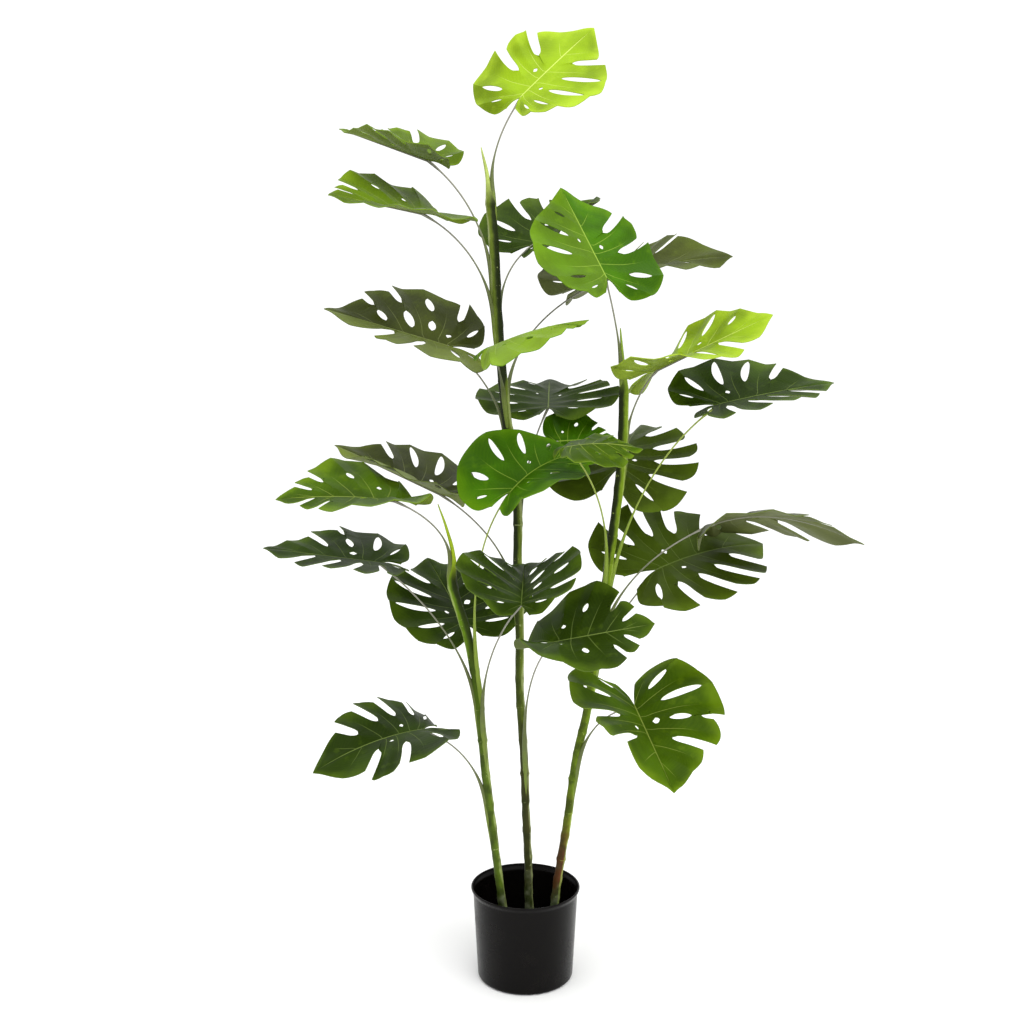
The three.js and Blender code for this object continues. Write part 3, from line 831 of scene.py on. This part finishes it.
def flat(s, t):
    """The flat half blade: s turns from the notch at the petiole to the tip, t runs out to the margin."""
    edge_along, edge_out = through(OUTLINE, s)
    rib = RIB_REACH * max(s, 0.0) ** RIB_POWER
    bow = RAY_BOW * math.sin(math.pi * min(max(s, 0.0), 1.0))
    along = edge_along - rib
    mid_along = rib + along / 2 - edge_out * bow
    mid_out = edge_out / 2 + along * bow
    a, b, c = (1 - t) ** 2, 2 * t * (1 - t), t * t
    return a * rib + b * mid_along + c * edge_along, b * mid_out + c * edge_out


def turn_rate(s, t):
    """Millimetres that the flat blade moves for a turn of 1 in s."""
    step = 1e-3
    before, after = flat(s - step, t), flat(s + step, t)
    return math.hypot(after[0] - before[0], after[1] - before[1]) / (2 * step)


def opening_width(opening, t):
    """An opening's width at t: a hole is round at both ends, a cut through the margin at its inner one."""
    start, end, width = opening
    x = (t - start) / (end - start)
    if x <= 0 or (end < 1 and x >= 1):
        return 0.0
    if end < 1:
        return width * math.sqrt(max(math.sin(math.pi * x), 0.0))
    k = min(x / CUT_ROUND, 1.0)
    return width * (CUT_WIDTH * math.sqrt(1 - (1 - k) ** 2) + CUT_SPREAD * x)


def half_gap(gap, t):
    """Half the width of a gap's ray at t, as a turn in s. Where it isn't open it is a thin seam."""
    s, openings = gap
    width = max([opening_width(opening, t) for opening in openings] + [SEAM_WIDTH])
    return 0.5 * width / turn_rate(s, max(t, 0.05))


class HalfPlan:
    """How a half blade's columns and rows of faces lie in s and t."""

    def __init__(self, gaps):
        self.gaps = gaps
        self.columns = FINGER_COLUMNS + len(gaps)
        self.edges = [0.0, *[s for s, _ in gaps], 1.0]
        widths = [b - a for a, b in zip(self.edges, self.edges[1:])]
        counts = [2 * max(1, round(FINGER_COLUMNS / 2 * width)) for width in widths]
        while sum(counts) != FINGER_COLUMNS:
            widest = max(range(len(counts)), key=lambda k: counts[k])
            counts[widest] += 2 if sum(counts) < FINGER_COLUMNS else -2
        self.counts = counts
        self.starts = [sum(counts[:k]) + k for k in range(len(counts))]
        self.halves = {}
        self.rims = [self.rim(column) for column in range(self.columns + 1)]
        self.strips = [self.starts[k] + counts[k] for k in range(len(gaps))]
        self.rows_open = [self.opened(k) for k in range(len(gaps))]

    def half(self, k, t):
        key = (k, round(t, 5))
        if key not in self.halves:
            self.halves[key] = half_gap(self.gaps[k], t)
        return self.halves[key]

    def finger(self, column):
        """The finger a column of points belongs to and its share of the way across it."""
        for k in reversed(range(len(self.starts))):
            if column >= self.starts[k]:
                return k, (column - self.starts[k]) / self.counts[k]

    def sides(self, k, t):
        """Where a finger starts and ends in s, at t."""
        start = 0.0 if k == 0 else self.gaps[k - 1][0] + self.half(k - 1, t)
        end = 1.0 if k == len(self.gaps) else self.gaps[k][0] - self.half(k, t)
        return start, end

    def rim(self, column):
        """How far out along its ray a column's last point lies: a finger's first corner is cut round."""
        k, share = self.finger(column)
        start, end = self.sides(k, 1)
        s = start + (end - start) * share
        cuts = [j for j, (_, openings) in enumerate(self.gaps) if any(o[1] == 1 for o in openings)]
        before = [j for j in cuts if j < k]
        if not before:
            return 1.0
        after = [j for j in cuts if j >= k]
        low = self.gaps[before[-1]][0] + self.half(before[-1], 1)
        high = self.gaps[after[0]][0] - self.half(after[0], 1) if after else 1.0
        return 1 - CORNER_CUT * (1 - min(max((s - low) / (high - low), 0), 1)) ** 3

    def opened(self, k):
        """The rows that each opening of a gap starts and ends on."""
        outer = min(self.rims[self.strips[k]], self.rims[self.strips[k] + 1])
        spans = []
        for start, end, _ in self.gaps[k][1]:
            first = round(start / outer * ROWS)
            last = ROWS if end == 1 else max(first + 2, round(end / outer * ROWS))
            spans.append((first, last, start, end))
        return spans

    def reach(self, column, row):
        """t of a point, with an opening's ends set exactly."""
        for k, lit_strip in enumerate(self.strips):
            if column in (lit_strip, lit_strip + 1):
                for first, last, start, end in self.rows_open[k]:
                    if row == first:
                        return start
                    if row == last and end < 1:
                        return end
        return self.rims[column] * row / ROWS

    def turn(self, column, t):
        """s of a point: a finger's middle column keeps to its vein, whatever the openings beside it."""
        k, share = self.finger(column)
        start, end = self.sides(k, t)
        vein = (self.edges[k] + self.edges[k + 1]) / 2
        if share < 0.5:
            spread = start + (vein - start) * share * 2
        else:
            spread = vein + (end - vein) * (share * 2 - 1)
        hold = ease(t / FINGERS_PARTED)
        return column / self.columns * (1 - hold) + spread * hold

    def vein(self, k, t):
        """s of a finger's lateral vein at t."""
        return self.turn(self.starts[k] + self.counts[k] // 2, t)

    def is_open(self, column, row):
        for k, lit_strip in enumerate(self.strips):
            if column == lit_strip:
                return any(first <= row < last for first, last, _, _ in self.rows_open[k])
        return False


plans = {name: HalfPlan(gaps) for name, gaps in HALVES.items()}


class LeafShape:
    """A leaf's own directions and the surface of its blade."""

    def __init__(self, number, row):
        (self.stem, self.foot, self.rise, base, heading, pitch, roll, self.size, self.lobes, folds,
         self.droop, self.twist, self.cuts, self.tone) = row
        self.base = Vector(base)
        self.folds = [math.radians(fold) for fold in folds]
        heading, pitch, roll = (math.radians(angle) for angle in (heading, pitch, roll))
        flat_run = math.cos(pitch)
        self.along = Vector((flat_run * math.cos(heading), flat_run * math.sin(heading), math.sin(pitch)))
        level = Vector((-math.sin(heading), math.cos(heading), 0))
        raised = self.along.cross(level)
        self.out = level * math.cos(roll) + raised * math.sin(roll)
        self.up = self.along.cross(self.out)
        chance = random.Random(number * 7 + 3)
        self.phases = [chance.uniform(0, 1) for _ in range(2)]
        self.paler_half = PALE_HALVES.get(number, (0.0, 0.0))

    def twisted(self, u):
        """The ways across and above the blade at u along its midrib."""
        turn = math.radians(self.twist) * (u / BLADE_LENGTH)
        across = self.out * math.cos(turn) + self.up * math.sin(turn)
        above = self.up * math.cos(turn) - self.out * math.sin(turn)
        return across, above

    def point(self, side, u, h, lift):
        """A spot u along the midrib, h out from it on one side, and lifted off that half's plane."""
        fold = self.folds[0 if side > 0 else 1]
        across, above = self.twisted(u)
        spot = self.along * (u * self.lobes if u < 0 else u)
        spot += across * (side * h * math.cos(fold)) + above * (h * math.sin(fold))
        spot -= self.up * (self.droop * (u / BLADE_LENGTH) ** 2)
        face = above * math.cos(fold) - across * (side * math.sin(fold))
        return self.base + (spot + face * lift) * self.size

    def lift(self, side, s, t, share, span):
        """How far a spot stands off the plain half blade."""
        crease = abs(2 * share - 1) ** PLEAT_POWER
        pleat = PLEAT * span * (crease - 0.5) * ease(t / PLEAT_START)
        phase = self.phases[0 if side > 0 else 1]
        wave = WAVE * t * t * math.sin(2 * math.pi * (WAVE_COUNT * s + phase))
        crown = CROWN * math.sin(math.pi * min(t * CROWN_RATE, 1))
        return (pleat + wave - MARGIN_DROP * t ** 3 + crown) * ease((1 - s) * TIP_CALM)


def make_half(shape, cut, side):
    """Half a blade: a grid bent to its place, with the faces in its openings taken out."""
    plan = plans[cut]
    piece = add_grid("half_blade", plan.columns, ROWS)
    reaches, fingers, veins, ribs = [], [], [], []
    places = []
    for vertex in piece.data.vertices:
        column = round((vertex.co.x + 0.5) * plan.columns)
        row = round((vertex.co.y + 0.5) * ROWS)
        places.append((column, row))
    for vertex, (column, row) in zip(piece.data.vertices, places):
        t = plan.reach(column, row)
        s = plan.turn(column, t)
        k, share = plan.finger(column)
        start, end = plan.sides(k, t)
        u, h = flat(s, t)
        span = (end - start) * turn_rate(s, t)
        if row == 0 or column == plan.columns:
            h = 0.0
        lift = 0.0 if row == 0 else shape.lift(side, s, t, share, span)
        vertex.co = shape.point(side, u, h, lift) * MM
        reaches.append(row / ROWS)
        fingers.append(k + share)
        veins.append(abs(s - plan.vein(k, t)) * turn_rate(s, t) * shape.size)
        ribs.append((h if u > 0 else math.hypot(u, h)) * shape.size)
    put_values(piece, "reach", reaches)
    put_values(piece, "finger", fingers)
    put_values(piece, "vein_mm", veins)
    put_values(piece, "rib_mm", ribs)
    put_values(piece, "paler_half", [shape.paler_half[0 if side > 0 else 1]] * len(ribs))
    for face in piece.data.polygons:
        corners = [places[i] for i in face.vertices]
        column = min(corner[0] for corner in corners)
        row = min(corner[1] for corner in corners)
        face.select = plan.is_open(column, row)
    for edge in piece.data.edges:
        edge.select = False
    for vertex in piece.data.vertices:
        vertex.select = False
    bpy.context.tool_settings.mesh_select_mode = (False, False, True)
    in_edit_mode(piece, lambda: bpy.ops.mesh.delete(type="FACE"))
    bpy.context.tool_settings.mesh_select_mode = (True, False, False)
    return piece


def make_blade(shape, finishes):
    """Both halves in one sheet, face up, with a wall: face, underside and edge each have a finish."""
    halves = [make_half(shape, cut, side) for cut, side in zip(shape.cuts, (1, -1))]
    blade = join(*halves)

    def even_out():
        weld()
        bpy.ops.mesh.normals_make_consistent(inside=False)

    in_edit_mode(blade, even_out)
    facing = sum((face.normal * face.area for face in blade.data.polygons), Vector())
    if facing.dot(shape.up) < 0:
        in_edit_mode(blade, lambda: bpy.ops.mesh.flip_normals())
    for finish in finishes:
        blade.data.materials.append(finish)
    wall = blade.modifiers.new("wall", "SOLIDIFY")
    wall.thickness = BLADE_THICKNESS * MM
    wall.offset = 0
    wall.material_offset = 1
    wall.material_offset_rim = 2
    bpy.context.view_layer.objects.active = blade
    bpy.ops.object.modifier_apply(modifier=wall.name)
    return blade


def make_midrib(shape, material):
    """The ridge under the blade, from the petiole to near the tip."""
    length = MIDRIB_SHARE * BLADE_LENGTH

    def place(k, turn):
        u = PETIOLE_SEAT + k * (length - PETIOLE_SEAT)
        across, above = shape.twisted(u)
        size = MIDRIB_FOOT * (1 - k) + MIDRIB_TIP * k
        rise = size * (MIDRIB_FLATNESS * math.sin(turn) - MIDRIB_DROP)
        return shape.point(1, u, 0, 0) + across * (size * math.cos(turn)) + above * rise

    values = {"run": lambda k, turn: 0.6 + 0.4 * k}
    return roll_tube("midrib", MIDRIB_RINGS, MIDRIB_SIDES, place, values, material)


def make_petiole(shape, material):
    """The stalk: a sheath that hugs the stem, then a slim arc to the blade."""
    path = paths[shape.stem]
    foot_run = path.run_at(shape.foot)
    foot = path.at(foot_run)
    rise_way = path.way(foot_run)
    end = shape.base + shape.along * PETIOLE_SEAT - shape.up * PETIOLE_SINK
    sideways = (end - foot) * Vector((1, 1, 0))
    way = sideways.normalized()
    start = foot + way * PETIOLE_OFF_AXIS
    crest = start + rise_way * shape.rise + sideways * PETIOLE_LEAN
    hug = path.radius(foot_run) * SHEATH_HUG - PETIOLE_OFF_AXIS
    across = rise_way.cross(way).normalized()

    def centre(k):
        if k < SHEATH_SHARE:
            run = foot_run - SHEATH_LENGTH * (1 - k / SHEATH_SHARE)
            return path.at(run) + way * (PETIOLE_OFF_AXIS + hug)
        w = (k - SHEATH_SHARE) / (1 - SHEATH_SHARE)
        arc = start * (1 - w) ** 2 + crest * (2 * w * (1 - w)) + end * (w * w)
        return arc + way * (hug * max(0.0, 1 - w / HUG_END) ** 2)

    def radius(k):
        if k < SHEATH_SHARE:
            return SHEATH_POINT + (PETIOLE_FOOT - SHEATH_POINT) * ease(k / SHEATH_SHARE)
        w = (k - SHEATH_SHARE) / (1 - SHEATH_SHARE)
        slim = PETIOLE_FOOT + (PETIOLE_THIN - PETIOLE_FOOT) * ease(w / SLIM_END)
        return slim + (PETIOLE_KNUCKLE - PETIOLE_THIN) * ease((w - KNUCKLE_START) / KNUCKLE_LENGTH)

    def place(k, turn):
        run = (centre(min(k + 0.01, 1)) - centre(max(k - 0.01, 0))).normalized()
        out = run.cross(across).normalized()
        size = radius(k)
        return centre(k) + across * (size * math.cos(turn)) + out * (size * math.sin(turn))

    values = {"run": lambda k, turn: k}
    return roll_tube("petiole", PETIOLE_RINGS, PETIOLE_SIDES, place, values, material)


def make_leaf(number, row, finishes, stalks):
    shape = LeafShape(number, row)
    stalk = stalks["yellow_green" if number in PALE_STALKS else "grey_green"]
    blade = make_blade(shape, finishes[shape.tone])
    leaf = join(blade, make_midrib(shape, stalk), make_petiole(shape, stalk))
    leaf.name = f"leaf_{number:02d}_moulded"
    return finish_piece(leaf, f"leaf_{shape.tone}", f"leaf_{number:02d}")


# Pot and filler

def ring_up(radius_from, radius_to, rise):
    """Extrudes the selected loop upwards or downwards and sets its new radius."""
    bpy.ops.mesh.extrude_region_move(TRANSFORM_OT_translate={"value": (0, 0, rise * MM)})
    share = radius_to / radius_from
    bpy.ops.transform.resize(value=(share, share, 1), center_override=(0, 0, 0))


def turn_up(name, profile, sides):
    """A turned piece from a profile of radius and height, from the middle of its underside."""
    deselect()
    radius, height = profile[0]
    bpy.ops.mesh.primitive_circle_add(
        vertices=sides, radius=radius * MM, fill_type="NGON", location=(0, 0, height * MM))
    piece = bpy.context.object
    piece.name = name
    bpy.ops.object.transform_apply(location=True, rotation=False, scale=False)

    def raise_wall():
        bpy.ops.mesh.select_all(action="SELECT")
        bpy.ops.mesh.edge_face_add()
        for (r0, z0), (r1, z1) in zip(profile, profile[1:]):
            ring_up(r0, r1, z1 - z0)
        bpy.ops.mesh.select_all(action="SELECT")
        bpy.ops.mesh.normals_make_consistent(inside=False)

    in_edit_mode(piece, raise_wall)
    return piece


def rounded(centre, radius, start, end, steps):
    """Points of an arc about its centre, between two angles."""
    spots = []
    for i in range(steps + 1):
        angle = math.radians(start + (end - start) * i / steps)
        spots.append((centre[0] + radius * math.cos(angle), centre[1] + radius * math.sin(angle)))
    return spots


def flared(radius):
    """Points of a wall that flares out from the foot of the lip to just under its round."""
    shares = [i / FLARE_STEPS for i in range(FLARE_STEPS + 1)]
    flare = LIP_RADIUS - POT_RIM_RADIUS
    rise = LIP_HEIGHT - LIP_ROUND
    return [(radius + flare * ease(k), POT_HEIGHT - LIP_HEIGHT + rise * k) for k in shares]


def make_pot(material):
    base = (POT_BASE_RADIUS - BASE_ROUND, BASE_ROUND)
    lip = (LIP_RADIUS - LIP_ROUND, POT_HEIGHT - LIP_ROUND)
    inner = (POT_BASE_RADIUS - POT_WALL - INNER_ROUND, POT_FLOOR + INNER_ROUND)
    profile = rounded(base, BASE_ROUND, -90, 0, BASE_STEPS)
    profile += flared(POT_RIM_RADIUS)
    profile += rounded(lip, LIP_ROUND, 0, 180, LIP_STEPS)[1:]
    profile += flared(POT_RIM_RADIUS - POT_WALL)[-2::-1]
    profile += rounded(inner, INNER_ROUND, 0, -90, INNER_STEPS)
    pot = turn_up("pot_turned", profile, POT_SIDES)
    pot.data.materials.append(material)
    return finish_piece(pot, "pot", "pot")


def make_filler(material):
    def inside(height):
        """The radius that just clears the pot's inner wall at a height."""
        low = POT_FLOOR + INNER_ROUND
        share = (height - low) / (POT_HEIGHT - LIP_HEIGHT - low)
        return POT_BASE_RADIUS - POT_WALL + share * (POT_RIM_RADIUS - POT_BASE_RADIUS) - FILLER_GAP

    heel = inside(FILLER_HEEL)
    profile = [(heel - FILLER_BEVEL, FILLER_FOOT), (heel, FILLER_FOOT + FILLER_BEVEL)]
    profile += [(inside(FILLER_TOP - 2), FILLER_TOP - 2), (inside(FILLER_TOP) - 1.2, FILLER_TOP - 0.5)]
    profile += [(radius, FILLER_TOP) for radius in range(60, 0, -6)]
    filler = turn_up("filler_cast", profile, FILLER_SIDES)
    feet = [Vector(points[0]) for points in STEMS.values()]
    for vertex in filler.data.vertices:
        spot = vertex.co / MM
        if spot.z > FILLER_TOP - 1:
            rough = sum(noise.noise(spot * scale) * height for scale, height in FILLER_LUMPS)
            near = min(math.hypot(spot.x - foot.x, spot.y - foot.y) for foot in feet)
            dip = STEM_DIP * math.exp(-(near / STEM_DIP_REACH) ** 2)
            spot.z += min(0.0, rough - FILLER_SINK) - dip
            vertex.co = spot * MM
    filler.data.materials.append(material)
    return finish_piece(filler, "filler", "filler")


# Floor, light and camera

def make_floor():
    deselect()
    bpy.ops.mesh.primitive_plane_add(size=FLOOR_SIZE, location=(0, 0, -FLOOR_DROP))
    floor = bpy.context.object
    floor.name = "floor"
    bpy.ops.object.transform_apply(location=True, rotation=False, scale=False)
    finish = Finish("floor_pale")
    floor.data.materials.append(finish.surface(Base_Color=(0.98, 0.98, 0.98, 1), Roughness=0.9))


def add_softbox(name, place, aim, width, power):
    light = bpy.data.lights.new(name, "AREA")
    light.size = width
    light.energy = power
    lamp = bpy.data.objects.new(name, light)
    bpy.context.collection.objects.link(lamp)
    lamp.location = place
    lamp.rotation_euler = (Vector(aim) - Vector(place)).to_track_quat("-Z", "Y").to_euler()


def set_light():
    world = bpy.data.worlds.new("studio")
    bpy.context.scene.world = world
    world.use_nodes = True
    sky = world.node_tree.nodes["Background"]
    sky.inputs["Color"].default_value = (1, 1, 1, 1)
    sky.inputs["Strength"].default_value = SKY_STRENGTH
    for name, (place, aim, width, power) in SOFTBOXES.items():
        add_softbox(name, place, aim, width, power)
    bpy.context.scene.view_settings.view_transform = "Standard"


def set_camera():
    camera = bpy.data.objects.new("camera", bpy.data.cameras.new("camera"))
    bpy.context.collection.objects.link(camera)
    camera.data.lens = LENS_MM
    camera.data.sensor_width = SENSOR_MM
    camera.location = CAMERA_PLACE
    camera.rotation_euler = (math.radians(90 - CAMERA_TILT), 0, 0)
    bpy.context.scene.camera = camera


set_camera()
set_light()
make_floor()

make_pot(pot_finish())
make_filler(filler_finish())
for name in STEMS:
    make_stem(name, stem_finish(name))

leaf_finishes = {tone: (face_finish(tone), underside_finish(tone), edge_finish(tone)) for tone in LEAF_TONES}
stalk_finishes = {tone: petiole_finish(tone) for tone in PETIOLE_TONES}
for number, row in enumerate(LEAVES, 1):
    make_leaf(number, row, leaf_finishes, stalk_finishes)
